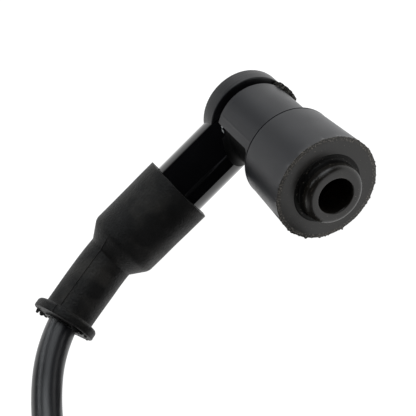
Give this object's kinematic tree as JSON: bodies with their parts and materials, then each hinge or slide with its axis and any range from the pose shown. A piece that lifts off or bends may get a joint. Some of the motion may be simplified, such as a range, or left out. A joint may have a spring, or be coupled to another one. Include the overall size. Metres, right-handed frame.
{
  "type": "ignition coil",
  "caption": "Small engine ignition coil: laminated core with a potted coil block, high-tension lead and elbow spark plug cap with rubber boots.",
  "frame": {"origin": "midway between the two mounting holes, on the core's underside", "axes": "+Z along the mounting holes, up from the core's underside; +Y towards the flywheel; the plug cap's barrel points along -Y and its arm along -X"},
  "size_m": [0.124, 0.1618, 0.029],
  "materials": {
    "lamination_steel": "satin, edges of stacked sheets",
    "rivet_steel": "satin",
    "bobbin_nylon": "natural nylon",
    "copper_wire": "enamelled copper",
    "board_laminate": "glass laminate",
    "chip_epoxy": "moulded",
    "tinned_steel": "tin plated",
    "brass": "bright",
    "spring_steel": "drawn wire",
    "case_plastic": "fine moulded grain",
    "potting_epoxy": "poured, smooth",
    "rubber": "satin",
    "boot_rubber": "satin moulded",
    "cuff_rubber": "matte moulded",
    "lead_rubber": "satin, extruded",
    "phenolic": "polished moulding",
    "resistor_ceramic": "unglazed"
  },
  "bodies": {
    "root": {"cable_boot": "cuff_rubber", "coil_case": "case_plastic", "core_bar": "lamination_steel", "core_leg_left": "lamination_steel", "core_leg_right": "lamination_steel", "core_rivets": "rivet_steel", "ground_pin": "tinned_steel", "kill_terminal": "tinned_steel", "lead_conductor": "copper_wire", "lead_contact": "brass", "lead_gland": "rubber", "lead_jacket": "lead_rubber", "module_board": "board_laminate", "potting_resin": "potting_epoxy", "primary_bobbin": "bobbin_nylon", "primary_winding": "copper_wire", "secondary_bobbin": "bobbin_nylon", "secondary_winding": "copper_wire", "switching_chip": "chip_epoxy"},
    "cap": {"cap_body": "phenolic", "end_cover": "phenolic", "cable_screw": "tinned_steel", "contact_disc": "brass", "resistor": "resistor_ceramic", "resistor_caps": "tinned_steel", "plug_terminal": "brass", "terminal_clip": "spring_steel", "contact_spring": "spring_steel"},
    "boot": {"plug_boot": "boot_rubber"}
  },
  "joints": [
    {"name": "cap_turn", "type": "hinge", "parent": "root", "child": "cap", "pos_m": [0.04, 0.111, 0.00355], "axis": [-1, 0, 0], "range_deg": [0, 180]},
    {"name": "plug_boot_pull", "type": "slide", "parent": "cap", "child": "boot", "axis": [0, -1, 0], "range_m": [0, 0.038]}
  ]
}
